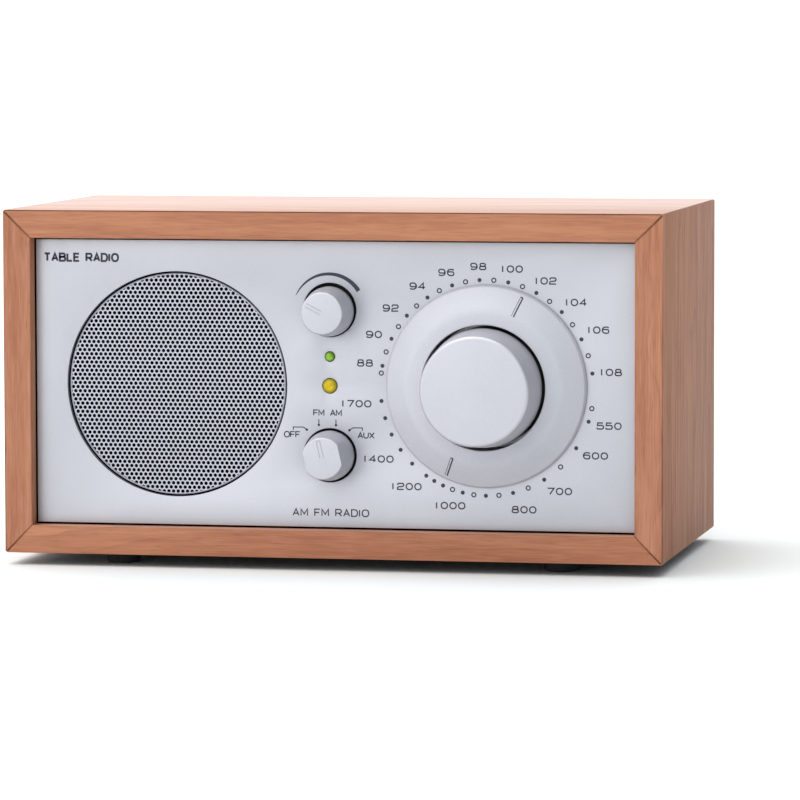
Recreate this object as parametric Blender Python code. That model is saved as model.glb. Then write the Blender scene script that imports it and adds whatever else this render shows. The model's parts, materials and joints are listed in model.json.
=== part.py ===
"""A wooden table radio: cabinet, loudspeaker, geared tuning drive, controls and rear connections.

Metres, +Z up. The front faces -Y. The origin is under the middle of the whole radio, on the
surface that it stands on. Lengths below are in millimetres until MM turns them into metres.
"""

import math

import bmesh
import bpy
from mathutils import Vector

MM = 0.001
GAP = 0.3  # between pieces that touch

# The cabinet
WIDTH = 213
CABINET_DEPTH = 116.3
CABINET_HEIGHT = 110
BOARD = 9
FOOT_HEIGHT = 4
FOOT_RADIUS = 5.6
FOOT_X = 71.5
FOOT_INSET = 16
KNOB_PROUD = 17.1  # how far the tuning knob's face stands in front of the cabinet
PANEL_RECESS = 5.1
REAR_RECESS = 7
REAR_THICK = 2

FRONT = KNOB_PROUD - (CABINET_DEPTH + KNOB_PROUD) / 2
BACK = FRONT + CABINET_DEPTH
BOTTOM = FOOT_HEIGHT
TOP = BOTTOM + CABINET_HEIGHT
PANEL = FRONT + PANEL_RECESS  # the panel's front face: depths are counted back from here
REAR = BACK - REAR_RECESS  # the rear panel's outer face
INNER_X = WIDTH / 2 - BOARD - GAP
INNER_LOW = BOTTOM + BOARD + GAP
INNER_HIGH = TOP - BOARD - GAP
PANEL_THICK = 2
BAFFLE_NEAR = PANEL_THICK + GAP
BAFFLE_FAR = BAFFLE_NEAR + 8
BEHIND_BAFFLE = BAFFLE_FAR + GAP

# What the front carries: (x, z) of each axis, and radii
GRILLE = (-50.8, 58.5)
TUNING = (49.6, 59.05)
VOLUME = (-0.9, 82.3)
VOLUME_HOLE = (-0.9, 82.7)  # the knob sits a little low in its hole
SELECTOR = (-0.9, 36.5)
POWER_LAMP = (-0.85, 67.9)
TUNING_LAMP = (-0.87, 58.6)
GRILLE_HOLE = 36.0
DIAL_RADIUS = 32.1
DIAL_HOLE = 23.6
DIAL_BORE = 19.8
DIAL_PROUD = 6.8
DIAL_EDGE = 0.8  # thickness at the dial's outer edge
SMALL_HOLE = 8.6
LAMP_RADII = {"power_lamp": 1.5, "tuning_lamp": 2.3}
BUSH_HOLE = 4.3
SHAFT = 3.0
SHAFT_BORE = SHAFT + GAP
SELECTOR_TURN = math.radians(-13)  # the selector rests at its FM position
SELECTOR_FLAT = 5.75  # its two finger flats' distance from the axis, at the face
SMALL_KNOB_PROUD = 12.2
SMALL_BASE = 7.9
SMALL_FACE = 6.65
TUNING_KNOB_PROUD = KNOB_PROUD + PANEL_RECESS
TUNING_BASE = 19.3
TUNING_FACE = 17.3
KNOB_CROWN = 4  # solid metal in front of a knob's bore
KNOB_TAPER_END = -2.6  # a knob is straight from this depth on

# The planetary tuning drive
MODULE = 0.9
SUN_TEETH = 12
PLANET_TEETH = 18
RING_TEETH = SUN_TEETH + 2 * PLANET_TEETH
PLANETS = 3
PLANET_ORBIT = MODULE * (SUN_TEETH + PLANET_TEETH) / 2
PIN = 1.5
GEARS_NEAR = 12.0
GEARS_FAR = 18.0

# The bass port in the bottom board
PORT = (0, 20)
PORT_BORE = 14
PORT_WALL = 2
PORT_LENGTH = 44

# Where things sit on the rear panel: (x, z)
MAINS_INLET = (68, 30)
AUX_SOCKET = (-30, 40)
HEADPHONE_SOCKET = (-48, 40)
AERIAL_SOCKET = (-72, 82)
AERIAL_SWITCH = (-50, 82)
REAR_SCREWS = [(x, z) for x in (-91, 91) for z in (24, 94)]

COARSE, MEDIUM, FINE = 12, 20, 36  # facets round a turned piece


def clear_scene():
    for old in list(bpy.data.objects):
        bpy.data.objects.remove(old, do_unlink=True)


def make_look(name, colour, roughness, metallic=0.0):
    look = bpy.data.materials.new(name)
    look.use_nodes = True
    shader = look.node_tree.nodes["Principled BSDF"]
    shader.inputs["Base Color"].default_value = (*colour, 1)
    shader.inputs["Roughness"].default_value = roughness
    shader.inputs["Metallic"].default_value = metallic
    return look


def finish(name, bm, look, place=(0, 0, 0), parent=None):
    """Turns a bmesh into a named object at a place given in millimetres."""
    bmesh.ops.recalc_face_normals(bm, faces=bm.faces)
    mesh = bpy.data.meshes.new(name)
    bm.to_mesh(mesh)
    bm.free()
    mesh.shade_smooth()
    mesh.set_sharp_from_angle(angle=math.radians(35))
    mesh.materials.append(look)
    made = bpy.data.objects.new(name, mesh)
    bpy.context.scene.collection.objects.link(made)
    made.location = [value * MM for value in place]
    if parent:
        made.parent = parent
    return made


def axis_empty(name, centre):
    """A Y axis that pieces turn about, at the panel's front face."""
    empty = bpy.data.objects.new(name, None)
    bpy.context.scene.collection.objects.link(empty)
    empty.location = (centre[0] * MM, PANEL * MM, centre[1] * MM)
    return empty


def turned(name, look, profile, place=(0, 0, 0), parent=None, steps=MEDIUM):
    """A profile of (radius, depth) points turned about +Y.

    It runs from axis to axis, or it is a closed loop.
    """
    bm = bmesh.new()
    points = [bm.verts.new((radius * MM, depth * MM, 0)) for radius, depth in profile]
    edges = [bm.edges.new(pair) for pair in zip(points, points[1:])]
    if profile[0][0] or profile[-1][0]:
        edges.append(bm.edges.new((points[-1], points[0])))
    bmesh.ops.spin(
        bm, geom=points + edges, cent=(0, 0, 0), axis=(0, 1, 0), angle=2 * math.pi, steps=steps
    )
    bmesh.ops.remove_doubles(bm, verts=bm.verts, dist=0.001 * MM)
    return finish(name, bm, look, place, parent)


def tube(name, look, inner, outer, near, far, **where):
    loop = [(inner, near), (inner, far), (outer, far), (outer, near)]
    return turned(name, look, loop, **where)


def rod(name, look, radius, near, far, **where):
    return turned(name, look, [(0, near), (radius, near), (radius, far), (0, far)], **where)


def plate(name, look, outline, holes, near, far, axis="Y", place=(0, 0, 0), parent=None):
    """Flat stock: an outline and holes, from near to far along axis.

    Points are (x, z) for axis Y, (x, y) for Z and (y, z) for X.
    """

    def solid(u, v, along):
        at = {"X": (along, u, v), "Y": (u, along, v), "Z": (u, v, along)}[axis]
        return Vector(at) * MM

    bm = bmesh.new()
    edges = []
    for loop in [outline, *holes]:
        points = [bm.verts.new(solid(u, v, near)) for u, v in loop]
        edges += [bm.edges.new(pair) for pair in zip(points, points[1:] + points[:1])]
    bmesh.ops.triangle_fill(bm, use_beauty=True, edges=edges)
    copied = bmesh.ops.extrude_face_region(bm, geom=bm.faces[:])["geom"]
    moved = [item for item in copied if isinstance(item, bmesh.types.BMVert)]
    bmesh.ops.translate(bm, verts=moved, vec=solid(0, 0, far - near))
    return finish(name, bm, look, place, parent)


def block(name, look, x, y, z, parent=None):
    """A plain box between (low, high) pairs in world millimetres, with its origin at its middle."""
    middle = [(low + high) / 2 for low, high in (x, y, z)]
    bm = bmesh.new()
    bmesh.ops.create_cube(bm, size=1)
    sides = [(high - low) * MM for low, high in (x, y, z)]
    bmesh.ops.scale(bm, vec=sides, verts=bm.verts)
    return finish(name, bm, look, middle, parent)


def circle(radius, centre=(0, 0), steps=MEDIUM):
    angles = [2 * math.pi * k / steps for k in range(steps)]
    return [(centre[0] + radius * math.cos(a), centre[1] + radius * math.sin(a)) for a in angles]


def rectangle(x, z):
    return [(x[0], z[0]), (x[1], z[0]), (x[1], z[1]), (x[0], z[1])]


def shape_with(target, tool, operation):
    """Cuts a hidden helper from a piece, or joins the helper to it."""
    tool.hide_render = True
    tool.display_type = "WIRE"
    change = target.modifiers.new(operation.lower() + "_" + tool.name, "BOOLEAN")
    change.operation = operation
    change.solver = "EXACT"
    change.object = tool


def cut(target, tool):
    shape_with(target, tool, "DIFFERENCE")


def join(target, tool):
    shape_with(target, tool, "UNION")


# ---------------------------------------------------------------- cabinet


def make_cabinet(looks):
    """Four boards mitred at the corners, each a trapezium in front view."""
    half = WIDTH / 2
    slack = GAP / math.sqrt(2)
    near, far = -PANEL_RECESS, CABINET_DEPTH - PANEL_RECESS

    def board(name, outer, inner, mitre):
        """outer and inner are the board's faces, mitre turns (along, across) into (x, z)."""
        ends = [(outer[0] + slack, outer[2]), (outer[1] - slack, outer[2])]
        ends += [(inner[1] - slack, inner[2]), (inner[0] + slack, inner[2])]
        outline = [mitre(*end) for end in ends]
        return plate(name, looks["wood"], outline, [], near, far, place=(0, PANEL, 0))

    def level(name, z, inner_z):
        return board(name, (-half, half, z), (BOARD - half, half - BOARD, inner_z), lambda x, up: (x, up))

    def upright(name, x, inner_x):
        heights = (BOTTOM + BOARD, TOP - BOARD, inner_x)
        return board(name, (BOTTOM, TOP, x), heights, lambda up, side: (side, up))

    level("cabinet_top", TOP, TOP - BOARD)
    floor = level("cabinet_bottom", BOTTOM, BOTTOM + BOARD)
    upright("cabinet_left", -half, BOARD - half)
    upright("cabinet_right", half, half - BOARD)
    bore = rod("port_cutter", looks["wood"], PORT_BORE + PORT_WALL + GAP, -BOARD, 2 * BOARD, steps=32)
    stand_up(bore, (*PORT, BOTTOM))
    cut(floor, bore)


def stand_up(piece, place):
    """Turns a piece's own +Y to world +Z."""
    piece.rotation_euler = (math.pi / 2, 0, 0)
    piece.location = [value * MM for value in place]


def make_feet(looks):
    ys = (FRONT + FOOT_INSET, BACK - FOOT_INSET)
    places = [(x, y) for y in ys for x in (-FOOT_X, FOOT_X)]
    for number, (x, y) in enumerate(places, 1):
        top = FOOT_HEIGHT - GAP
        profile = [(0, 0), (FOOT_RADIUS - 0.6, 0), (FOOT_RADIUS, 0.8), (FOOT_RADIUS, top), (0, top)]
        foot = turned(f"foot_{number}", looks["rubber"], profile, steps=COARSE)
        stand_up(foot, (x, y, 0))


def make_front(looks):
    """The silver panel and the dark board behind it that everything is screwed to."""
    sheet = rectangle((-INNER_X, INNER_X), (INNER_LOW, INNER_HIGH))
    holes = [
        circle(GRILLE_HOLE, GRILLE, FINE),
        circle(DIAL_HOLE, TUNING, FINE),
        circle(SMALL_HOLE, VOLUME_HOLE, FINE),
        circle(SMALL_HOLE, SELECTOR, FINE),
    ]
    lamps = [
        circle(LAMP_RADII["power_lamp"] + GAP, POWER_LAMP, COARSE),
        circle(LAMP_RADII["tuning_lamp"] + GAP, TUNING_LAMP, COARSE),
    ]
    plate("face_panel", looks["silver"], sheet, holes + lamps, 0, PANEL_THICK, place=(0, PANEL, 0))
    bushes = [circle(BUSH_HOLE, VOLUME, COARSE), circle(BUSH_HOLE, SELECTOR, COARSE)]
    bores = holes[:2] + bushes + lamps
    board = looks["fibreboard"]
    plate("baffle_board", board, sheet, bores, BAFFLE_NEAR, BAFFLE_FAR, place=(0, PANEL, 0))


def make_port(looks):
    length = PORT_LENGTH
    flare = 2
    outer = PORT_BORE + PORT_WALL
    profile = [
        (PORT_BORE + flare - 0.5, 0), (PORT_BORE, flare + 1), (PORT_BORE, length), (outer, length), (outer, 0)
    ]
    port = turned("bass_port_tube", looks["black_plastic"], profile, steps=32)
    stand_up(port, (*PORT, BOTTOM + GAP))


def make_rear(looks):
    """The rear panel, the cleats that it is screwed to, and its screws."""
    near, far = -REAR_THICK, 0
    holes = [circle(1.8, centre, COARSE) for centre in REAR_SCREWS]
    holes += [circle(4.3, centre, COARSE) for centre in (AUX_SOCKET, HEADPHONE_SOCKET)]
    holes.append(circle(5.3, AERIAL_SOCKET, COARSE))
    x, z = MAINS_INLET
    holes.append(rectangle((x - 13.3, x + 13.3), (z - 8.3, z + 8.3)))
    x, z = AERIAL_SWITCH
    holes.append(rectangle((x - 4, x + 4), (z - 2.2, z + 2.2)))
    sheet = rectangle((-INNER_X, INNER_X), (INNER_LOW, INNER_HIGH))
    plate("rear_panel", looks["black_panel"], sheet, holes, near, far, place=(0, REAR, 0))
    cleat_far = near - GAP
    cleat_near = cleat_far - 10
    width = 11
    dark = looks["fibreboard"]
    for side, x in (("left", (-INNER_X, width - INNER_X)), ("right", (INNER_X - width, INNER_X))):
        bores = [circle(1.7, at, COARSE) for at in REAR_SCREWS if x[0] < at[0] < x[1]]
        outline = rectangle(x, (INNER_LOW + 2, INNER_HIGH - 2))
        plate(f"rear_cleat_{side}", dark, outline, bores, cleat_near, cleat_far, place=(0, REAR, 0))
    head = [(0, 0.9), (1.1, 0.9), (1.1, 1.9), (2.2, 1.7), (3.1, 0.9), (3.1, GAP)]
    screw = head + [(1.4, GAP), (1.4, -9), (0, -10.5)]
    for number, (x, z) in enumerate(REAR_SCREWS, 1):
        turned(f"rear_screw_{number}", looks["steel"], screw, place=(x, REAR, z), steps=COARSE)


# ---------------------------------------------------------------- loudspeaker


def make_speaker(looks):
    place = {"place": (GRILLE[0], PANEL, GRILLE[1])}
    edge = GRILLE_HOLE - GAP
    face, sheet, rim = 1.0, 0.8, 9.4
    dish = [(0, face), (edge, face), (edge, rim), (edge - sheet, rim), (edge - sheet, face + sheet)]
    turned("speaker_grille", looks["grille"], [*dish, (0, face + sheet)], steps=FINE, **place)

    near = BEHIND_BAFFLE
    basket = [(33, near), (40, near), (40, near + 1.5), (35, near + 1.5), (24.6, 32.5)]
    basket += [(12.5, 32.5), (12.5, 31.2), (23.6, 31.2), (33, near + 1.5)]
    frame = turned("speaker_basket", looks["steel"], basket, steps=FINE, **place)
    for number in range(4):
        hole = rectangle((-8, 8), (15, 45))
        window = plate(f"basket_window_{number}", looks["steel"], hole, [], 15, 28, **place)
        window.rotation_euler = (0, math.radians(45 + 90 * number), 0)
        cut(frame, window)

    roll_middle, roll, level = 30.7, 2.3, 9.4
    half_roll = [math.pi * k / 4 for k in range(5)]
    front = [(roll_middle + roll * math.cos(a), level - roll * math.sin(a)) for a in half_roll]
    thin = roll - 0.6
    back = [(roll_middle + thin * math.cos(a), level - thin * math.sin(a)) for a in reversed(half_roll)]
    inner_lip = [(28.4, 10.0), (roll_middle - thin, 10.0)]
    outer_lip = [(roll_middle + thin, 10.2), (34.5, 10.2)]
    surround = [(34.5, level), *front, *inner_lip, *back, *outer_lip]
    turned("cone_surround", looks["rubber"], surround, steps=FINE, **place)

    cone = [(28.0, 9.2), (28.0, 10.0), (24, 11.4), (11.4, 20.6)]
    cone += [(10.6, 20.6), (10.6, 19.8), (23.6, 10.4), (26, 9.2)]
    turned("speaker_cone", looks["paper"], cone, steps=FINE, **place)
    cap = [(0, 14.6), (5.5, 15.8), (10.2, 19.2), (10.2, 19.9), (5.3, 16.6), (0, 15.4)]
    turned("dust_cap", looks["paper"], cap, **place)
    tube("voice_coil", looks["copper"], 9.4, 10.2, 20.2, 35.0, **place)
    ripples = [(11.0 + 2.0 * k, 25.4 + (0.5 if k % 2 else -0.5)) for k in range(6)]
    spider = ripples + [(radius, depth + 0.5) for radius, depth in reversed(ripples)]
    turned("cone_spider", looks["fabric"], spider, **place)

    tube("magnet_top_plate", looks["steel"], 10.9, 24.5, 32.8, 36.3, steps=32, **place)
    tube("magnet_ring", looks["ferrite"], 14, 27, 36.6, 44.6, steps=32, **place)
    yoke = [(0, 33.3), (8.9, 33.3), (8.9, 44.9), (24.5, 44.9), (24.5, 48.4), (0, 48.4)]
    turned("magnet_yoke", looks["steel"], yoke, steps=32, **place)


# ---------------------------------------------------------------- controls


def knob_profile(base, face, proud, sunk, edge):
    """A slightly tapered knob with a softened face edge and a blind bore for its shaft."""
    front = [(0, -proud), (face - edge, -proud), (face - 0.25 * edge, 0.3 * edge - proud)]
    side = [(face, edge - proud), (base, KNOB_TAPER_END), (base, sunk)]
    bore = [(SHAFT_BORE, sunk), (SHAFT_BORE, KNOB_CROWN - proud), (0, KNOB_CROWN - proud)]
    return front + side + bore


def make_controls(looks):
    """Volume and band selector: each a body behind the baffle, a shaft and a knob; and the two lamps."""
    board_near = 20.0
    back = board_near - GAP
    bore_end = 16
    body = [(0, bore_end), (SHAFT_BORE, bore_end), (SHAFT_BORE, 3), (4, 3), (4, BEHIND_BAFFLE)]
    body += [(8.5, BEHIND_BAFFLE), (8.5, back), (0, back)]
    controls = (("volume_control", "volume", VOLUME), ("selector_switch", "selector", SELECTOR))
    for name, label, centre in controls:
        turned(name, looks["steel"], body, place=(centre[0], PANEL, centre[1]))
        axis = axis_empty(f"{label}_axis", centre)
        near = KNOB_CROWN + GAP - SMALL_KNOB_PROUD
        rod(f"{label}_shaft", looks["steel"], SHAFT, near, bore_end - 1, parent=axis, steps=COARSE)
        profile = knob_profile(SMALL_BASE, SMALL_FACE, SMALL_KNOB_PROUD, 1.2, 0.7)
        turned(f"{label}_knob", looks["silver"], profile, parent=axis)
    flatten_selector(looks)
    board = rectangle((VOLUME[0] - 12, VOLUME[0] + 12), (24, 96))
    green = looks["circuit_board"]
    plate("control_board", green, board, [], board_near, board_near + 1.6, place=(0, PANEL, 0))
    for name, centre in (("power_lamp", POWER_LAMP), ("tuning_lamp", TUNING_LAMP)):
        radius = LAMP_RADII[name]
        dome = [(radius * math.sin(a), 0.8 * (1 - math.cos(a)) - 1) for a in (0, 0.5, 1.0, math.pi / 2)]
        place = (centre[0], PANEL, centre[1])
        turned(name, looks[name], [*dome, (radius, back), (0, back)], place=place, steps=COARSE)


def flatten_selector(looks):
    """The flats for finger and thumb on both sides of the selector knob, sloping out to its base."""
    knob = bpy.data.objects["selector_knob"]
    front, back = -SMALL_KNOB_PROUD - 1, 0
    slope = (SMALL_BASE - SELECTOR_FLAT) / SMALL_KNOB_PROUD
    clear = SMALL_BASE + 4
    for side in (-1, 1):
        outline = [(SELECTOR_FLAT - slope, front), (clear, front), (clear, back), (SMALL_BASE, back)]
        mirrored = [(side * x, y) for x, y in outline]
        name = "selector_flat_left" if side < 0 else "selector_flat_right"
        cut(knob, plate(name, looks["silver"], mirrored, [], -clear, clear, axis="Z", parent=knob))
    knob.rotation_euler = (0, SELECTOR_TURN, 0)


# ---------------------------------------------------------------- tuning drive


def gear_outline(teeth, inward=False, phase=0.0):
    """Straight-sided teeth, thinned for backlash. An internal gear's teeth point inward."""
    pitch = MODULE * teeth / 2
    turn = 2 * math.pi / teeth
    sign = -1 if inward else 1
    tip, root = pitch + sign * 0.8 * MODULE, pitch - sign * MODULE
    outline = []
    for number in range(teeth):
        middle = phase + number * turn
        for step, radius in ((-0.27, root), (-0.13, tip), (0.13, tip), (0.27, root)):
            angle = middle + step * turn
            outline.append((radius * math.cos(angle), radius * math.sin(angle)))
    return outline


def make_tuning(looks):
    """The knob's pinion drives three planets inside a fixed ring gear.

    The planets' carrier turns the dial and the capacitor's rotor.
    """
    axis = axis_empty("tuning_axis", TUNING)
    steel = looks["steel"]
    sunk = 5.5
    profile = knob_profile(TUNING_BASE, TUNING_FACE, TUNING_KNOB_PROUD, sunk, 0.6)
    turned("tuning_knob", looks["silver"], profile, parent=axis, steps=FINE)
    shaft_near = KNOB_CROWN + GAP - TUNING_KNOB_PROUD
    shaft_far = GEARS_FAR + 0.2
    shaft = rod("tuning_shaft", steel, SHAFT, shaft_near, shaft_far, parent=axis, steps=COARSE)
    pinion = gear_outline(SUN_TEETH)
    join(shaft, plate("pinion_teeth", steel, pinion, [], GEARS_NEAR, GEARS_FAR, parent=axis))
    housing = circle(28, steps=FINE)
    ring = gear_outline(RING_TEETH, inward=True)
    plate("ring_gear", steel, housing, [ring], BEHIND_BAFFLE, GEARS_FAR + 0.5, parent=axis)

    dial = axis_empty("dial_axis", TUNING)
    hub_end = 6.6
    hub = DIAL_HOLE - GAP
    edge = [(DIAL_RADIUS, -GAP), (DIAL_RADIUS, -DIAL_EDGE)]
    crest = [(24.4, 0.5 - DIAL_PROUD), (23.4, 0.2 - DIAL_PROUD), (DIAL_BORE + 0.4, -DIAL_PROUD)]
    bore = [(DIAL_BORE, 0.3 - DIAL_PROUD), (DIAL_BORE, hub_end), (hub, hub_end), (hub, -GAP)]
    turned("dial_ring", looks["silver"], edge + crest + bore, parent=dial, steps=FINE)

    plate_near = hub_end + GAP
    plate_far = plate_near + 3
    where = {"parent": dial}
    carrier = tube("planet_carrier", steel, SHAFT_BORE, hub, plate_near, plate_far, steps=32, **where)
    back_plate = GEARS_FAR + 0.8
    half_tooth = math.pi / PLANET_TEETH
    gear_near, gear_far = GEARS_NEAR + 0.3, GEARS_FAR - 0.3
    for number in range(1, PLANETS + 1):
        angle = math.pi / 2 + (number - 1) * 2 * math.pi / PLANETS
        at = (PLANET_ORBIT * math.cos(angle), 0, PLANET_ORBIT * math.sin(angle))
        pin = f"planet_pin_{number}"
        near, far = plate_far - 0.5, back_plate + 0.5
        join(carrier, rod(pin, steel, PIN, near, far, place=at, steps=COARSE, **where))
        teeth = gear_outline(PLANET_TEETH, phase=angle + math.pi + half_tooth)
        bore = circle(PIN + GAP, steps=COARSE)
        name = f"planet_gear_{number}"
        plate(name, looks["brass"], teeth, [bore], gear_near, gear_far, place=at, **where)
    join(carrier, rod("carrier_back", steel, 16, back_plate, back_plate + 2, steps=32, **where))
    capacitor_near, capacitor_end = back_plate + 1.5, 50
    tail = rod("capacitor_shaft", steel, SHAFT, capacitor_near, capacitor_end, steps=COARSE, **where)
    join(carrier, tail)
    make_capacitor(looks, dial)


def half_annulus(inner, outer, start):
    """Half a washer, from angle start on."""
    sweep = [start + math.pi * k / 10 for k in range(11)]
    out = [(outer * math.cos(a), outer * math.sin(a)) for a in sweep]
    return out + [(inner * math.cos(a), inner * math.sin(a)) for a in reversed(sweep)]


def make_capacitor(looks, dial):
    """The tuning capacitor: rotor plates on the carrier's shaft, stator plates and a bent frame."""
    metal, brass = looks["aluminium"], looks["brass"]
    rotor = tube("capacitor_rotor", metal, SHAFT_BORE, 5, 26.5, 45, steps=COARSE, parent=dial)
    pitch, first = 5, 28
    vane = half_annulus(4, 14, math.pi)
    for number in range(4):
        near = first + number * pitch
        join(rotor, plate(f"rotor_vane_{number}", metal, vane, [], near, near + 1, parent=dial))
    place = (TUNING[0], PANEL, TUNING[1])
    bar = rectangle((-5, 5), (14.6, 17.6))
    stator = plate("capacitor_stator", brass, bar, [], 29.5, 42, place=place)
    vane = half_annulus(6.5, 15.5, 0)
    for number in range(3):
        near = first + (number + 0.5) * pitch
        join(stator, plate(f"stator_vane_{number}", brass, vane, [], near, near + 1, place=place))
    bracket = [(24, -19), (47.5, -19), (47.5, 12), (46, 12), (46, -17.5), (25.5, -17.5), (25.5, 12), (24, 12)]
    frame = plate("capacitor_frame", looks["steel"], bracket, [], -17, 17, axis="X", place=place)
    cut(frame, rod("bearing_cutter", looks["steel"], SHAFT_BORE, 20, 52, place=place, steps=COARSE))


# ---------------------------------------------------------------- electronics and rear connections


def make_electronics(looks):
    block("main_board", looks["circuit_board"], (-62, 50), (44, 45.6), (20, 92))
    rod("filter_capacitor", looks["black_plastic"], 8, 18, 44 - GAP, place=(30, 0, 62), steps=COARSE)

    clip_x, rod_y, rod_z, rod_radius = 5, 30, 97, 5
    outline = rectangle((rod_y - 8, rod_y + 8), (rod_z - 8, INNER_HIGH))
    hold = circle(rod_radius + GAP, (rod_y, rod_z), COARSE)
    plate("ferrite_clip", looks["black_plastic"], outline, [hold], -clip_x, clip_x, axis="X")
    ferrite = rod("ferrite_rod", looks["ferrite"], rod_radius, -50, 50, place=(0, rod_y, rod_z), steps=COARSE)
    ferrite.rotation_euler = (0, 0, math.pi / 2)

    x, y, z = 76, 27, 31.3
    windows = [rectangle(side, (-10.5, 10.5)) for side in ((-14, -7), (7, 14))]
    core = rectangle((-21, 21), (-17.5, 17.5))
    plate("transformer_core", looks["steel"], core, windows, -9, 9, place=(x, y, z))
    coil = rectangle((-13.7, 13.7), (-15, 15))
    leg = rectangle((-7.3, 7.3), (-9.3, 9.3))
    plate("transformer_winding", looks["copper"], coil, [leg], -10.2, 10.2, axis="Z", place=(x, y, z))


def make_connections(looks):
    """What the rear panel carries. Depths here are counted from its outer face."""
    place = (MAINS_INLET[0], REAR, MAINS_INLET[1])
    pin_x, recess = 4.3, 4.6
    body = rectangle((-13, 13), (-8, 8))
    inlet = plate("mains_inlet", looks["black_plastic"], body, [], -10.5, 0.8, place=place)
    left = [(x - pin_x, z) for x, z in circle(recess) if x < 0.01]
    right = [(x + pin_x, z) for x, z in circle(recess) if x > -0.01]
    slot = sorted(right, key=lambda at: at[1]) + sorted(left, key=lambda at: -at[1])
    cut(inlet, plate("inlet_cutter", looks["black_plastic"], slot, [], -8, 3, place=place))
    for number, x in enumerate((-pin_x, pin_x), 1):
        at = (place[0] + x, place[1], place[2])
        join(inlet, rod(f"inlet_pin_{number}", looks["steel"], 1.2, -9, -1.5, place=at, steps=COARSE))

    jack = [(0, -9), (1.75, -9), (1.75, 1.6), (4.9, 1.6), (4.9, GAP), (4, GAP), (4, -13.5), (0, -13.5)]
    for name, centre in (("aux_socket", AUX_SOCKET), ("headphone_socket", HEADPHONE_SOCKET)):
        turned(name, looks["steel"], jack, place=(centre[0], REAR, centre[1]), steps=COARSE)
    aerial = [(0, -4), (0.9, -4), (0.9, 5.6), (4.4, 5.6), (4.4, 1.8), (6.2, 1.8)]
    aerial += [(6.2, GAP), (5, GAP), (5, -10), (0, -10)]
    turned("aerial_socket", looks["brass"], aerial, place=(AERIAL_SOCKET[0], REAR, AERIAL_SOCKET[1]))
    x, z = AERIAL_SWITCH
    far = REAR - REAR_THICK - GAP
    block("aerial_switch", looks["black_plastic"], (x - 7, x + 7), (far - 6, far), (z - 4, z + 4))
    tip = REAR + 1.6
    slider = looks["white_plastic"]
    block("aerial_slider", slider, (x - 3.7, x + 0.7), (far + GAP, tip), (z - 1.9, z + 1.9))


def make_looks():
    return {
        "wood": make_look("wood", (0.42, 0.17, 0.10), 0.45),
        "fibreboard": make_look("fibreboard", (0.03, 0.03, 0.03), 0.9),
        "silver": make_look("silver", (0.72, 0.74, 0.78), 0.42, 0.6),
        "grille": make_look("grille", (0.50, 0.51, 0.54), 0.5, 0.7),
        "steel": make_look("steel", (0.45, 0.45, 0.46), 0.4, 1.0),
        "aluminium": make_look("aluminium", (0.70, 0.71, 0.72), 0.4, 1.0),
        "brass": make_look("brass", (0.66, 0.50, 0.24), 0.35, 1.0),
        "copper": make_look("copper", (0.60, 0.28, 0.16), 0.4, 1.0),
        "ferrite": make_look("ferrite", (0.06, 0.06, 0.065), 0.7),
        "paper": make_look("paper", (0.04, 0.04, 0.042), 0.8),
        "fabric": make_look("fabric", (0.55, 0.42, 0.22), 0.9),
        "rubber": make_look("rubber", (0.03, 0.03, 0.03), 0.8),
        "black_plastic": make_look("black_plastic", (0.03, 0.03, 0.032), 0.5),
        "black_panel": make_look("black_panel", (0.04, 0.04, 0.042), 0.6),
        "white_plastic": make_look("white_plastic", (0.80, 0.80, 0.78), 0.5),
        "circuit_board": make_look("circuit_board", (0.05, 0.22, 0.10), 0.5),
        "power_lamp": make_look("power_lamp", (0.10, 0.55, 0.20), 0.2),
        "tuning_lamp": make_look("tuning_lamp", (0.75, 0.65, 0.15), 0.2),
    }


def main():
    clear_scene()
    looks = make_looks()
    make_cabinet(looks)
    make_feet(looks)
    make_front(looks)
    make_port(looks)
    make_rear(looks)
    make_speaker(looks)
    make_controls(looks)
    make_tuning(looks)
    make_electronics(looks)
    make_connections(looks)


main()
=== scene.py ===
"""Looks of a wooden table radio: veneered cabinet, silver front with a printed dial scale,
perforated loudspeaker grille, knobs, lamps, and the connections on its back.

Lengths are in millimetres until MM turns them into metres. Places come from the CAD frame.
"""

import json
import math

import bmesh
import bpy
from mathutils import Matrix, Vector


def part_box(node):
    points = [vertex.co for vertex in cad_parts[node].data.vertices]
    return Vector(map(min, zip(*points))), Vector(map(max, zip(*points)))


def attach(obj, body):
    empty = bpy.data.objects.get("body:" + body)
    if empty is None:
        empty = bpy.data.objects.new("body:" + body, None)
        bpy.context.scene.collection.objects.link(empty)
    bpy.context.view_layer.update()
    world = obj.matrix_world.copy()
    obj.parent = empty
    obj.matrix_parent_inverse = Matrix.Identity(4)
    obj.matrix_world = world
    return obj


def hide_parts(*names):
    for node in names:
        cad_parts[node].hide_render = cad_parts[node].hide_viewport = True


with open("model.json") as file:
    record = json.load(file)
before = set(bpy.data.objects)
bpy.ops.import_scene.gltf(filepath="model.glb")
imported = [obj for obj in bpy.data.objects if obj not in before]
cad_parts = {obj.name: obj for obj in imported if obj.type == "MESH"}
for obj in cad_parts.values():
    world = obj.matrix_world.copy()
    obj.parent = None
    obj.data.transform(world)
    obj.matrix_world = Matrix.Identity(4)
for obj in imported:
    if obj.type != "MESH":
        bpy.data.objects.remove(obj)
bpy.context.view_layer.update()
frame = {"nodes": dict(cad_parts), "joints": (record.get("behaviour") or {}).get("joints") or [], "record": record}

MM = 0.001
JOINTS = {joint["name"]: joint for joint in frame["joints"]}


def span(node):
    """Lowest and highest corners of a CAD node, in millimetres."""
    low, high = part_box(node)
    return low / MM, high / MM


def middle(node):
    low, high = span(node)
    return (low + high) / 2


def radius_of(node):
    low, high = span(node)
    return (high.x - low.x) / 2


def on_rear(node):
    """Where a piece that belongs to a node stands on the rear panel."""
    centre = middle(node)
    return centre.x, REAR, centre.z


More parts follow.
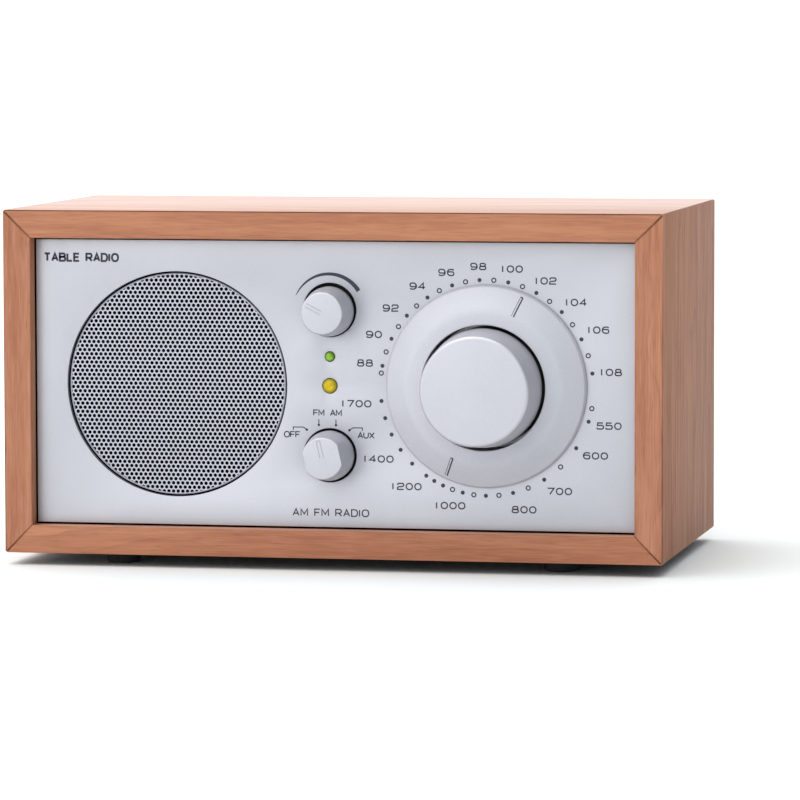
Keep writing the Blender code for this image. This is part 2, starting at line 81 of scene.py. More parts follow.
def axis_of(joint):
    """(x, z) of a joint that turns about a Y axis, in millimetres."""
    x, _, z = JOINTS[joint]["pos_m"]
    return x / MM, z / MM


PANEL_LOW, PANEL_HIGH = span("face_panel")
PANEL = PANEL_LOW.y  # the silver panel's front face
REAR = span("rear_panel")[1].y  # the rear panel's outer face
TUNING = axis_of("tuning_knob_turn")
VOLUME = axis_of("volume_turn")
SELECTOR = axis_of("selector_turn")
ROUND = 128  # facets round a large turned piece
SMALL_ROUND = 64
UPRIGHT = Matrix.Rotation(math.pi / 2, 3, "X")  # stands the axis of a turned piece up


# ---------------- geometry helpers


def filleted(corners, closed=True, steps=5):
    """2D corners, some as (a, b, radius), which become arcs. A radius too large for its sides shrinks."""
    points = []
    count = len(corners)
    for index, corner in enumerate(corners):
        here = Vector(corner[:2])
        radius = corner[2] if len(corner) > 2 else 0
        if not radius or (not closed and index in (0, count - 1)):
            points.append(here)
            continue
        back = Vector(corners[index - 1][:2]) - here
        ahead = Vector(corners[(index + 1) % count][:2]) - here
        half = back.angle(ahead) / 2
        reach = min(radius / math.tan(half), back.length / 2, ahead.length / 2)
        radius = reach * math.tan(half)
        centre = here + (back.normalized() + ahead.normalized()).normalized() * radius / math.sin(half)
        start = here + back.normalized() * reach - centre
        end = here + ahead.normalized() * reach - centre
        sweep = start.angle_signed(end)
        for step in range(steps + 1):
            turned_by = Matrix.Rotation(-sweep * step / steps, 2)
            points.append(centre + turned_by @ start)
    return points


def circle(radius, centre=(0, 0), steps=SMALL_ROUND):
    angles = [2 * math.pi * k / steps for k in range(steps)]
    return [Vector((centre[0] + radius * math.cos(a), centre[1] + radius * math.sin(a))) for a in angles]


def rectangle(x, z):
    return [Vector(at) for at in ((x[0], z[0]), (x[1], z[0]), (x[1], z[1]), (x[0], z[1]))]


def rounded(x, z, radius):
    """A rectangle with round corners, between (low, high) pairs."""
    return filleted([(*at, radius) for at in rectangle(x, z)])


def inset(points, amount):
    """A convex outline moved inwards by amount."""
    middle_point = sum(points, Vector((0, 0))) / len(points)
    moved = []
    for index, here in enumerate(points):
        back = (here - points[index - 1]).normalized()
        ahead = (points[(index + 1) % len(points)] - here).normalized()
        normals = [Vector((-side.y, side.x)) for side in (back, ahead)]
        normals = [n if n.dot(middle_point - here) > 0 else -n for n in normals]
        bisector = sum(normals, Vector((0, 0))).normalized()
        moved.append(here + bisector * amount / max(bisector.dot(normals[0]), 0.3))
    return moved


def turned(profile, steps=ROUND):
    """A profile of (radius, depth) turned about +Y. It runs from axis to axis, or it is a closed loop."""
    bm = bmesh.new()
    points = [bm.verts.new((at[0] * MM, at[1] * MM, 0)) for at in profile]
    edges = [bm.edges.new(pair) for pair in zip(points, points[1:])]
    if profile[0][0] or profile[-1][0]:
        edges.append(bm.edges.new((points[-1], points[0])))
    everything = points + edges
    bmesh.ops.spin(bm, geom=everything, cent=(0, 0, 0), axis=(0, 1, 0), angle=2 * math.pi, steps=steps)
    bmesh.ops.remove_doubles(bm, verts=bm.verts, dist=0.0005 * MM)
    return bm


def ring(inner, outer, front, back, steps=ROUND):
    """A plain turned ring, or a solid cylinder if inner is 0."""
    return turned([(inner, front), (outer, front), (outer, back), (inner, back)], steps)


def stacked(loops, depths):
    """Flat stock in XZ, its edges rounded by depths: (inset, depth) from front to back.

    loops is a function of the inset that gives the outline and the holes.
    """
    bm = bmesh.new()
    rings = []
    for shrink, depth in depths:
        rings.append([
            [bm.verts.new((u * MM, depth * MM, v * MM)) for u, v in loop] for loop in loops(shrink)
        ])
    for front, back in zip(rings, rings[1:]):
        for near, far in zip(front, back):
            count = len(near)
            for k in range(count):
                bm.faces.new((near[k], near[(k + 1) % count], far[(k + 1) % count], far[k]))
    for cap in (rings[0], rings[-1]):
        edges = [bm.edges.get((a, b)) for loop in cap for a, b in zip(loop, loop[1:] + loop[:1])]
        bmesh.ops.triangle_fill(bm, use_beauty=True, edges=edges)
    return bm


def rounded_edge(near, far, edge):
    """The (inset, depth) list of a plate whose front and back edges are rounded."""
    steps = 3
    angles = [math.pi / 2 * k / steps for k in range(steps + 1)]
    front = [(edge * (1 - math.sin(a)), near + edge * (1 - math.cos(a))) for a in angles]
    back = [(edge * (1 - math.sin(a)), far - edge * (1 - math.cos(a))) for a in reversed(angles)]
    return front + back


def block(x, y, z, edge):
    """A box between (low, high) pairs, its upright edges rounded with the rest."""
    centre = Vector((sum(x) / 2, sum(z) / 2))

    def loops(shrink):
        corner = max(edge - shrink, 0.02)
        half_x, half_z = (x[1] - x[0]) / 2 - shrink, (z[1] - z[0]) / 2 - shrink
        ends = [(-half_x, -half_z), (half_x, -half_z), (half_x, half_z), (-half_x, half_z)]
        return [[centre + at for at in filleted([(*end, corner) for end in ends], steps=3)]]

    return stacked(loops, rounded_edge(*y, edge))


def merged(*parts):
    """Several bmeshes as one."""
    whole = bmesh.new()
    for part in parts:
        mesh = bpy.data.meshes.new("merging")
        part.to_mesh(mesh)
        part.free()
        whole.from_mesh(mesh)
        bpy.data.meshes.remove(mesh)
    return whole


def moved(bm, x=0, y=0, turn=None):
    """bm turned by a matrix about its origin, then moved by millimetres."""
    if turn:
        bmesh.ops.transform(bm, matrix=turn, verts=bm.verts)
    bmesh.ops.translate(bm, vec=Vector((x, y, 0)) * MM, verts=bm.verts)
    return bm


def bare_object(name, bm):
    bmesh.ops.recalc_face_normals(bm, faces=bm.faces)
    mesh = bpy.data.meshes.new(name)
    bm.to_mesh(mesh)
    bm.free()
    made = bpy.data.objects.new(name, mesh)
    bpy.context.scene.collection.objects.link(made)
    return made


def carved(bm, *cutters):
    """bm with closed bmeshes cut from it."""
    helpers = [bare_object("carving", part) for part in (bm, *cutters)]
    target = helpers[0]
    for cutter in helpers[1:]:
        change = target.modifiers.new("cut", "BOOLEAN")
        change.solver = "EXACT"
        change.object = cutter
    bpy.context.view_layer.update()
    graph = bpy.context.evaluated_depsgraph_get()
    mesh = bpy.data.meshes.new_from_object(target.evaluated_get(graph))
    result = bmesh.new()
    result.from_mesh(mesh)
    for helper in helpers:
        bpy.data.objects.remove(helper)
    return result


def piece(name, bm, slot, look="", body="cabinet", replaced=(), place=(0, 0, 0), sharp=28):
    """Names a bmesh, gives it its look (the slot's own, or another), and hangs it on a CAD body."""
    made = bare_object(name, bm)
    made.data.shade_smooth()
    made.data.set_sharp_from_angle(angle=math.radians(sharp))
    made.data.materials.append(LOOKS[look or slot])
    made.location = Vector(place) * MM
    bpy.context.view_layer.update()
    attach(made, body)
    if replaced:
        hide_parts(*replaced)
    return made


# ---------------- lettering


def path(*corners):
    return False, corners


def outline(*corners):
    return True, corners


# Centre lines of wide, even capitals and figures on a unit square. BIG and SMALL are corner radii.
BIG, SMALL = 0.46, 0.27
BOWL = [(0, 0), (0, 1), (0.95, 1, SMALL), (0.95, 0.45, SMALL), (0, 0.45)]
GLYPHS = {
    "0": [outline((0, 0, BIG), (1, 0, BIG), (1, 1, BIG), (0, 1, BIG))],
    "1": [path((0, 0), (0, 1))],
    "2": [path(
        (0.03, 0.7), (0.05, 1, 0.3), (1, 1, SMALL), (1, 0.5, SMALL), (0, 0.42, SMALL), (0, 0), (1, 0),
    )],
    "4": [path((0.72, 0), (0.72, 1), (0, 0.3), (1, 0.3))],
    "5": [path(
        (0.92, 1), (0.1, 1), (0.05, 0.58), (1, 0.62, SMALL), (1, 0, SMALL), (0, 0, SMALL), (0, 0.24),
    )],
    "6": [path(
        (0.95, 0.8), (0.9, 1, SMALL), (0, 1, BIG), (0, 0, BIG), (1, 0, SMALL), (1, 0.6, SMALL),
        (0, 0.6, SMALL), (0.02, 0.35),
    )],
    "7": [path((0, 1), (1, 1), (0.35, 0))],
    "8": [
        outline((0.08, 0.53, SMALL), (0.92, 0.53, SMALL), (0.92, 1, SMALL), (0.08, 1, SMALL)),
        outline((0, 0, SMALL), (1, 0, SMALL), (1, 0.53, SMALL), (0, 0.53, SMALL)),
    ],
    "9": [path(
        (0.05, 0.2), (0.1, 0, SMALL), (1, 0, BIG), (1, 1, BIG), (0, 1, SMALL), (0, 0.4, SMALL),
        (1, 0.4, SMALL), (0.98, 0.65),
    )],
    "A": [path((0, 0), (0.5, 1), (1, 0)), path((0.17, 0.33), (0.83, 0.33))],
    "B": [
        outline((0, 0), (1, 0, SMALL), (1, 0.54, SMALL), (0, 0.54)),
        outline((0, 0.54), (0.92, 0.54, SMALL), (0.92, 1, SMALL), (0, 1)),
    ],
    "C": [path((1, 0.74), (0.95, 1, SMALL), (0, 1, BIG), (0, 0, BIG), (0.95, 0, SMALL), (1, 0.26))],
    "D": [outline((0, 0), (1, 0, BIG), (1, 1, BIG), (0, 1))],
    "E": [path((0.9, 1), (0, 1), (0, 0), (0.9, 0)), path((0, 0.52), (0.8, 0.52))],
    "F": [path((0.88, 1), (0, 1), (0, 0)), path((0, 0.5), (0.75, 0.5))],
    "H": [path((0, 0), (0, 1)), path((1, 0), (1, 1)), path((0, 0.5), (1, 0.5))],
    "I": [path((0, 0), (0, 1))],
    "L": [path((0, 1), (0, 0), (0.85, 0))],
    "M": [path((0, 0), (0, 1), (0.55, 0.25), (1.1, 1), (1.1, 0))],
    "N": [path((0, 0), (0, 1), (1, 0), (1, 1))],
    "O": [outline((0, 0, BIG), (1.1, 0, BIG), (1.1, 1, BIG), (0, 1, BIG))],
    "P": [path(*BOWL)],
    "R": [path(*BOWL), path((0.5, 0.45), (1, 0))],
    "S": [path(
        (1, 0.78), (0.95, 1, SMALL), (0, 1, SMALL), (0, 0.53, SMALL), (1, 0.53, SMALL), (1, 0, SMALL),
        (0.05, 0, SMALL), (0, 0.22),
    )],
    "T": [path((0, 1), (1, 1)), path((0.5, 1), (0.5, 0))],
    "U": [path((0, 1), (0, 0, BIG), (1, 0, BIG), (1, 1))],
    "V": [path((0, 1), (0.5, 0), (1, 1))],
    "X": [path((0, 0), (1, 1)), path((0, 1), (1, 0))],
    " ": [],
}
SPACE = 0.55
ADVANCE = {"1": 0.34, "I": 0.1}  # room that a narrow letter takes


def ribbon(bm, points, width, closed=False):
    """A flat band of even width along 2D points, in the XZ plane."""
    count = len(points)
    pairs = []
    for index, here in enumerate(points):
        before = points[index - 1] if index or closed else here
        after = points[(index + 1) % count] if index < count - 1 or closed else here
        incoming = (here - before).normalized()
        outgoing = (after - here).normalized()
        if not incoming.length:
            incoming = outgoing
        if not outgoing.length:
            outgoing = incoming
        normal = Vector((-(incoming + outgoing).y, (incoming + outgoing).x)).normalized()
        stretch = 1 / max(normal.dot(Vector((-incoming.y, incoming.x))), 0.45)
        offset = normal * width / 2 * stretch
        ends = (here + offset, here - offset)
        pairs.append([bm.verts.new((at.x * MM, 0, at.y * MM)) for at in ends])
    for k in range(count if closed else count - 1):
        left, right = pairs[k], pairs[(k + 1) % count]
        bm.faces.new((left[0], left[1], right[1], right[0]))


def letters(bm, text, x, z, height, stroke, stretch=1.0, gap=0.26):
    """Text in stroked capitals and figures, centred on (x, z). height is of the centre lines."""
    widths = []
    for letter in text:
        reach = [at[0] for _, corners in GLYPHS[letter] for at in corners]
        widths.append(max([ADVANCE.get(letter, 0), *reach]) if reach else SPACE)
    total = (sum(widths) + gap * (len(text) - 1)) * height * stretch
    pen = x - total / 2
    for letter, width in zip(text, widths):
        for closed, corners in GLYPHS[letter]:
            points = filleted(corners, closed)
            shape = [Vector((pen + at.x * height * stretch, z + (at.y - 0.5) * height)) for at in points]
            ribbon(bm, shape, stroke, closed)
        pen += (width + gap) * height * stretch


def disc(bm, radius, centre):
    bm.faces.new([bm.verts.new((at.x * MM, 0, at.y * MM)) for at in circle(radius, centre, steps=20)])


def printed(bm, raised=0.03):
    """Gives flat printing a little body, part of it sunk into the surface."""
    copied = bmesh.ops.extrude_face_region(bm, geom=bm.faces[:])["geom"]
    front = [item for item in copied if isinstance(item, bmesh.types.BMVert)]
    bmesh.ops.translate(bm, verts=front, vec=(0, -raised * MM, 0))
    bmesh.ops.translate(bm, verts=bm.verts, vec=(0, raised / 3 * MM, 0))
    return bm


# ---------------- materials


def add(tree, kind, inputs=None, **settings):
    """A shader node. An input given as a socket is linked, and anything else is set."""
    made = tree.nodes.new(kind)
    for name, value in settings.items():
        setattr(made, name, value)
    for key, value in (inputs or {}).items():
        if isinstance(value, bpy.types.NodeSocket):
            tree.links.new(value, made.inputs[key])
        else:
            made.inputs[key].default_value = value
    return made


def new_look(name, **fixed):
    """(material, tree, principled shader), with constant inputs set on the shader's own sockets."""
    look = bpy.data.materials.new(name)
    look.use_nodes = True
    tree = look.node_tree
    shader = tree.nodes["Principled BSDF"]
    for key, value in fixed.items():
        shader.inputs[key.replace("_", " ")].default_value = value
    return look, tree, shader


def noise_of(tree, scale, stretch=(1, 1, 1), detail=3, distortion=0.0):
    """Noise over the object's own coordinates, scale per metre."""
    coords = add(tree, "ShaderNodeTexCoord")
    mapping = add(tree, "ShaderNodeMapping", {"Vector": coords.outputs["Object"], "Scale": stretch})
    place = mapping.outputs["Vector"]
    inputs = {"Vector": place, "Scale": scale, "Detail": detail, "Distortion": distortion}
    return add(tree, "ShaderNodeTexNoise", inputs).outputs["Fac"]


def remap(value, low, high, to_low=0.0, to_high=1.0):
    inputs = {"Value": value, "From Min": low, "From Max": high, "To Min": to_low, "To Max": to_high}
    return add(value.id_data, "ShaderNodeMapRange", inputs).outputs["Result"]


def blend_colours(factor, first, second):
    """The colour mix; its colour sockets are the inputs 6 and 7 and the output 2."""
    first, second = (
        colour if isinstance(colour, bpy.types.NodeSocket) else (*colour, 1) for colour in (first, second)
    )
    inputs = {0: factor, 6: first, 7: second}
    return add(factor.id_data, "ShaderNodeMix", inputs, data_type="RGBA").outputs[2]


def calculate(how, first, second=0.0):
    return add(first.id_data, "ShaderNodeMath", {0: first, 1: second}, operation=how).outputs[0]


def times(first, second):
    return calculate("MULTIPLY", first, second)


def plus(first, second):
    return calculate("ADD", first, second)


def scaled(colour, share):
    return tuple(value * share for value in colour)


def drive(shader, colour, roughness):
    shader.id_data.links.new(colour, shader.inputs["Base Color"])
    shader.id_data.links.new(roughness, shader.inputs["Roughness"])


def bump_from(shader, height, depth, strength=1.0):
    """depth is the height of the relief in millimetres."""
    inputs = {"Height": height, "Distance": depth * MM, "Strength": strength}
    made = add(shader.id_data, "ShaderNodeBump", inputs)
    shader.id_data.links.new(made.outputs["Normal"], shader.inputs["Normal"])


def plain_look(name, colour, second, roughness, grain, relief):
    """A moulded or painted surface: two close colours in soft patches, uneven gloss and a fine grain."""
    look, tree, shader = new_look(name)
    patches = noise_of(tree, 60, detail=4)
    fine = noise_of(tree, grain, detail=2)
    colours = blend_colours(remap(patches, 0.3, 0.7), colour, second)
    uneven = plus(times(patches, 0.6), times(fine, 0.4))
    drive(shader, colours, remap(uneven, 0.3, 0.7, *roughness))
    bump_from(shader, fine, relief)
    return look


def wood_look(name, grain_axis, lacquer, matt, tone=(1, 1, 1), roughness=(0.40, 0.52)):
    """Cherry veneer, its grain along X or Z.

    lacquer is the weight of the coat, matt its roughness, and tone multiplies the veneer's colours.
    """
    look, tree, shader = new_look(name, Coat_Weight=lacquer, Coat_Roughness=matt, Coat_IOR=1.5, IOR=1.4)

    def shade(colour):
        return tuple(value * share for value, share in zip(colour, tone))

    def along(long, across):
        return tuple(long if axis == grain_axis else across for axis in "XYZ")

    place = add(tree, "ShaderNodeTexCoord").outputs["Object"]
    parts = add(tree, "ShaderNodeSeparateXYZ", {"Vector": place}).outputs
    across = parts["Z" if grain_axis == "X" else "X"]
    rise = plus(times(across, 150), times(parts["Y"], 105))
    wander = times(noise_of(tree, 1.0, along(11, 42), detail=2, distortion=0.3), 5.5)
    growth = calculate("FRACT", plus(rise, wander))
    late = calculate("POWER", growth, 5.0)
    presence = remap(noise_of(tree, 1.0, along(7, 90), detail=2), 0.38, 0.62)

    band = noise_of(tree, 1.0, along(8, 70), detail=3, distortion=0.4)
    streak = noise_of(tree, 1.0, along(22, 420), detail=3, distortion=0.2)
    fibre = noise_of(tree, 1.0, along(90, 2200), detail=2)
    pores = remap(noise_of(tree, 1.0, along(150, 3000), detail=1), 0.62, 0.76)

    light, deep = shade((0.385, 0.168, 0.100)), shade((0.290, 0.108, 0.055))
    body = blend_colours(remap(band, 0.33, 0.67), light, deep)
    for amount, colour in (
        (remap(streak, 0.40, 0.70, 0, 0.65), (0.235, 0.078, 0.036)),
        (times(times(late, presence), 0.75), (0.190, 0.060, 0.028)),
        (remap(fibre, 0.42, 0.72, 0, 0.40), (0.450, 0.215, 0.135)),
        (times(pores, 0.4), (0.120, 0.036, 0.020)),
    ):
        body = blend_colours(amount, body, shade(colour))
    drive(shader, body, remap(streak, 0.3, 0.7, *roughness))
    relief = calculate("SUBTRACT", fibre, times(pores, 0.8))
    bump_from(shader, relief, 0.010)
    return look


def silver_look(name, tint, roughness, metallic=0.75):
    """Satin silver paint: fine flakes, soft patches and small marks from handling."""
    look, tree, shader = new_look(name, Metallic=metallic, IOR=1.5)
    patches = noise_of(tree, 22, detail=3)
    flakes = noise_of(tree, 5200, detail=1)
    speckle = noise_of(tree, 1500, detail=2)
    colours = blend_colours(remap(patches, 0.3, 0.7), tint, scaled(tint, 0.93))
    colours = blend_colours(remap(speckle, 0.45, 0.75, 0, 0.35), colours, scaled(tint, 1.12))
    scuffs = remap(noise_of(tree, 140, (1, 1, 0.25), detail=5), 0.55, 0.8, 0, 0.07)
    gloss = plus(remap(speckle, 0.3, 0.7, *roughness), scuffs)
    drive(shader, colours, gloss)
    bump_from(shader, flakes, 0.004, 0.6)
    return look


def bare_metal_look(name, colour, roughness, stretch):
    """Machined or plated metal with fine lines and a trace of tarnish."""
    look, tree, shader = new_look(name, Metallic=1.0)
    tarnish = remap(noise_of(tree, 90, detail=4), 0.45, 0.75, 0, 0.5)
    colours = blend_colours(tarnish, colour, scaled(colour, 0.62))
    lines = noise_of(tree, 1400, stretch, detail=2)
    drive(shader, colours, remap(lines, 0.3, 0.7, *roughness))
    bump_from(shader, lines, 0.006)
    return look


def lamp_look(name, colour, radius, glow):
    """A tinted lens of a radius in metres, brighter in the middle where its lamp shines through; its darker rim is
    also painted shade at the dome's edge.
    """
    look, tree, shader = new_look(
        name, IOR=1.49, Coat_Weight=0.2, Coat_Roughness=0.05, Specular_IOR_Level=0.2,
        Emission_Strength=glow,
    )
    cells = noise_of(tree, 900, detail=2)
    colours = blend_colours(remap(cells, 0.35, 0.65), colour, scaled(colour, 0.72))
    place = add(tree, "ShaderNodeTexCoord").outputs["Object"]
    flat = add(tree, "ShaderNodeVectorMath", {0: place, 1: (1, 0, 1)}, operation="MULTIPLY")
    out = add(tree, "ShaderNodeVectorMath", {0: flat.outputs["Vector"]}, operation="LENGTH")
    # Darker towards the rim: partly the lamp's glow, partly painted shade on the dome's edge.
    rim = remap(out.outputs["Value"], radius * 0.55, radius)
    colours = blend_colours(rim, colours, scaled(colour, 0.35))
    drive(shader, colours, remap(cells, 0.3, 0.7, 0.12, 0.22))
    tree.links.new(colours, shader.inputs["Emission Color"])
    return look


def cloth_look(name, colour, second):
    """A fine plain weave."""
    look, tree, shader = new_look(name, Specular_IOR_Level=0.1)
    place = add(tree, "ShaderNodeTexCoord").outputs["Object"]
    inputs = {"Vector": place, "Scale": 900.0, "Distortion": 1.0}
    weave = times(*(
        add(tree, "ShaderNodeTexWave", inputs, bands_direction=way).outputs["Fac"] for way in ("X", "Z")
    ))
    drive(shader, blend_colours(weave, colour, second), remap(weave, 0, 1, 0.8, 0.95))
    bump_from(shader, weave, 0.05)
    return look


def floor_look():
    look, tree, shader = new_look("floor_paper")
    mottle = noise_of(tree, 2, detail=3)
    colours = blend_colours(mottle, (0.75, 0.75, 0.75), (0.77, 0.77, 0.77))
    drive(shader, colours, remap(mottle, 0.3, 0.7, 0.75, 0.9))
    return look


# slot: name, colour, second colour, roughness, grain per metre, relief in millimetres
PLAIN_LOOKS = {
    "fibreboard": (
        "painted_fibreboard", (0.012, 0.012, 0.013), (0.02, 0.02, 0.02), (0.75, 0.95), 1500, 0.03,
    ),
    "ink": ("slate_ink", (0.020, 0.022, 0.034), (0.030, 0.032, 0.046), (0.55, 0.75), 1200, 0.004),
    # shade: grey lines of painted shade for the walls of engraved grooves
    "shade": ("painted_groove_shade", (0.30, 0.31, 0.34), (0.34, 0.35, 0.38), (0.55, 0.75), 1200, 0.004),
    "white_ink": ("white_ink", (0.70, 0.70, 0.68), (0.62, 0.62, 0.60), (0.55, 0.75), 1200, 0.004),
    "ferrite": ("sintered_ferrite", (0.035, 0.035, 0.038), (0.06, 0.06, 0.063), (0.5, 0.75), 700, 0.05),
    "paper": ("cone_paper", (0.02, 0.02, 0.021), (0.035, 0.035, 0.035), (0.8, 0.95), 500, 0.08),
    "rubber": ("black_rubber", (0.012, 0.012, 0.012), (0.022, 0.022, 0.022), (0.7, 0.9), 800, 0.05),
    "black_plastic": (
        "black_moulding", (0.014, 0.014, 0.015), (0.024, 0.024, 0.025), (0.38, 0.55), 1300, 0.03,
    ),
    "black_panel": ("rear_sheet", (0.020, 0.020, 0.021), (0.032, 0.032, 0.033), (0.5, 0.68), 1100, 0.05),
    "white_plastic": ("white_moulding", (0.76, 0.76, 0.73), (0.68, 0.68, 0.65), (0.35, 0.5), 1000, 0.02),
    "circuit_board": ("solder_mask", (0.03, 0.16, 0.07), (0.05, 0.24, 0.10), (0.3, 0.5), 400, 0.03),
}
# slot: name, colour, roughness, stretch of its fine lines
BARE_METALS = {
    "steel": ("zinc_plate", (0.52, 0.52, 0.53), (0.25, 0.42), (1, 6, 1)),
    "nickel": ("nickel_plate", (0.66, 0.64, 0.60), (0.16, 0.30), (1, 8, 1)),
    "aluminium": ("aluminium_sheet", (0.70, 0.71, 0.72), (0.28, 0.45), (6, 1, 1)),
    "brass": ("brass_sheet", (0.72, 0.53, 0.26), (0.22, 0.40), (6, 1, 1)),
    "copper": ("enamelled_wire", (0.62, 0.25, 0.12), (0.25, 0.45), (1, 1, 4)),
}
# The record's slots, and some looks that only show on detailed pieces.
LOOKS = {
    # One veneer, toned and lacquered apart: painted light on the top boards, painted shade on the side boards.
    "wood_x": wood_look("cherry_along_x_light_toned", "X", 0.6, 0.26, tone=(1.14, 1.0, 0.76)),
    "wood_z": wood_look("cherry_along_z_shade_toned", "Z", 0.0, 0.4, (1.13, 1.145, 1.12), (0.60, 0.72)),
    "wood": wood_look("cherry_inside", "X", 0.0, 0.4),
    "silver": silver_look("silver_paint", (0.492, 0.498, 0.539), (0.36, 0.46)),
    "knob_silver": silver_look("knob_silver", (0.530, 0.532, 0.575), (0.44, 0.54)),
    "dial_silver": silver_look("dial_silver", (0.500, 0.503, 0.550), (0.50, 0.60), 0.15),
    "grille": silver_look("grille_silver", (0.495, 0.505, 0.565), (0.34, 0.44)),
    "fabric": cloth_look("spider_cloth", (0.50, 0.37, 0.18), (0.62, 0.48, 0.27)),
    # Near-black cloth for painted shade: in gaps, round the knobs in their holes and behind the grille.
    "black_cloth": cloth_look("black_shade_cloth", (0.002, 0.002, 0.003), (0.006, 0.006, 0.007)),
    "power_lamp": lamp_look("green_lens", (0.235, 0.460, 0.03), 1.5 * MM, 0.12),
    "tuning_lamp": lamp_look("yellow_lens", (0.58, 0.430, 0.003), 2.3 * MM, 0.06),
    **{slot: plain_look(*values) for slot, values in PLAIN_LOOKS.items()},
    **{slot: bare_metal_look(*values) for slot, values in BARE_METALS.items()},
}


# ---------------- cabinet


MITRE_GAP = 0.05  # each board keeps clear of a mitre by this
CORNER, CRISP = 0.2, 0.15  # radii of a board's outer and inner corners, seen from the front
EDGE = 0.35  # radius of a board's front and back edges


def make_cabinet():
    """Four veneered boards, mitred, with every long edge just broken so that the mitres show."""
    low = span("cabinet_left")[0]
    high = span("cabinet_right")[1]
    inner = -span("cabinet_left")[1].x
    bottom, floor_top = (corner.z for corner in span("cabinet_bottom"))
    ceiling, top = (corner.z for corner in span("cabinet_top"))
    gap = MITRE_GAP

    def lying(outside, inside):
        return [
            (low.x + gap, outside, CORNER), (high.x - gap, outside, CORNER),
            (inner - gap, inside, CRISP), (-inner + gap, inside, CRISP),
        ]

    def standing(outside, inside):
        return [
            (outside, bottom + gap, CORNER), (outside, top - gap, CORNER),
            (inside, ceiling - gap, CRISP), (inside, floor_top + gap, CRISP),
        ]

    boards = {
        "top": ("wood_x", lying(top, ceiling)),
        "bottom": ("wood_x", lying(bottom, floor_top)),
        "left": ("wood_z", standing(low.x, -inner)),
        "right": ("wood_z", standing(high.x, inner)),
    }
    for side, (look, corners) in boards.items():
        shape = filleted(corners, steps=4)
        edges = rounded_edge(low.y, high.y, EDGE)
        board = stacked(lambda shrink, shape=shape: [inset(shape, shrink)], edges)
        if side == "bottom":
            port = middle("bass_port_tube")
            radius = span("bass_port_tube")[1].x - port.x + 0.2
            bore = ring(0, radius, -20, 30, SMALL_ROUND)
            board = carved(board, moved(bore, port.x, port.y, turn=UPRIGHT))
        piece(f"wood_{side}", board, "wood", look, replaced=[f"cabinet_{side}"], sharp=20)


def make_feet():
    """Round rubber feet with a soft rim."""
    for number in range(1, 5):
        node = f"foot_{number}"
        radius, height = radius_of(node), span(node)[1].z
        rim = [(radius - 0.3, 0, 0.8), (radius, height * 0.5, 0.4), (radius, height)]
        foot = moved(turned(filleted([(0, 0), *rim, (0, height)], False), SMALL_ROUND), turn=UPRIGHT)
        centre = middle(node)
        piece(f"rubber_foot_{number}", foot, "rubber", replaced=[node], place=(centre.x, centre.y, 0))


def make_port():
    """The bass port, its mouth flared under the cabinet."""
    node = "bass_port_tube"
    low, high = span(node)
    outer = radius_of(node)
    bore, length, flare = outer - 2, high.z - low.z, 1.6
    angles = (0, 0.4, 0.8, 1.2, math.pi / 2)
    mouth = [(bore + flare * (1 - math.sin(a)), flare * (1 - math.cos(a))) for a in angles]
    tube = turned([*mouth, (bore, length), (outer, length), (outer, 0)], SMALL_ROUND)
    centre = middle(node)
    piece("port_tube", moved(tube, turn=UPRIGHT), "black_plastic", replaced=[node],
          place=(centre.x, centre.y, low.z))


def make_underside():
    """A thin black sheet of painted shade under the cabinet, with round holes for the port and the feet."""
    low, high = span("cabinet_bottom")
    margin, thick = 2.5, 0.15
    rooms = {"bass_port_tube": 0.4, **{f"foot_{number}": 0.3 for number in range(1, 5)}}
    holes = [(middle(node), span(node)[1].x - middle(node).x + room) for node, room in rooms.items()]

    def loops(shrink):
        outside = rectangle((low.x + margin, high.x - margin), (low.y + margin, high.y - margin))
        return [outside, *(circle(radius, (at.x, at.y), 32) for at, radius in holes)]

    sheet = stacked(loops, [(0, 0), (0, thick)])
    lying = Matrix(((1, 0, 0), (0, 0, 1), (0, 1, 0)))
    piece("underside_shade_sheet", moved(sheet, turn=lying), "black_panel", place=(0, 0, low.z - thick))


# ---------------- front panel and its printing

GRILLE_HOLE = 36.0
DIAL_HOLE = 23.6
CONTROL_HOLE = 8.6
VOLUME_SAG = 0.4  # how far the volume knob sits below its hole's centre
SCALE_SAG = 0.48  # how far the scale's centre lies below the dial's
SCALE_RADIUS = 34.1  # of the dots round the dial
LABEL_RADIUS = 37.25  # where the labels' near sides stand
FIGURE = 1.92  # height of the figures' centre lines
STROKE = 0.43
HALF_WIDTHS = {2: 2.6, 3: 3.5, 4: 4.85}  # of labels with so many figures
LAMPS = {"power_lamp": "green_lens", "tuning_lamp": "yellow_lens"}
LENS_RISE = 0.9  # height of a lamp's dome
# Figures that stand off the even ring: (across, up).
NUDGES = {
    "90": (-0.5, -0.6), "92": (-0.9, -0.5), "106": (-0.4, 1.0), "108": (-0.5, -0.2),
    "700": (-0.3, 0), "800": (0.2, -1.1), "1200": (0.4, 0), "1400": (0.4, -0.5), "1700": (0, -0.4),
}
PANEL_EDGES = ((PANEL_LOW.x, PANEL_HIGH.x), (PANEL_LOW.z, PANEL_HIGH.z))
PANEL_MARGIN = 0.25  # extra room round the panel, with black cloth in it that paints the gap's shade
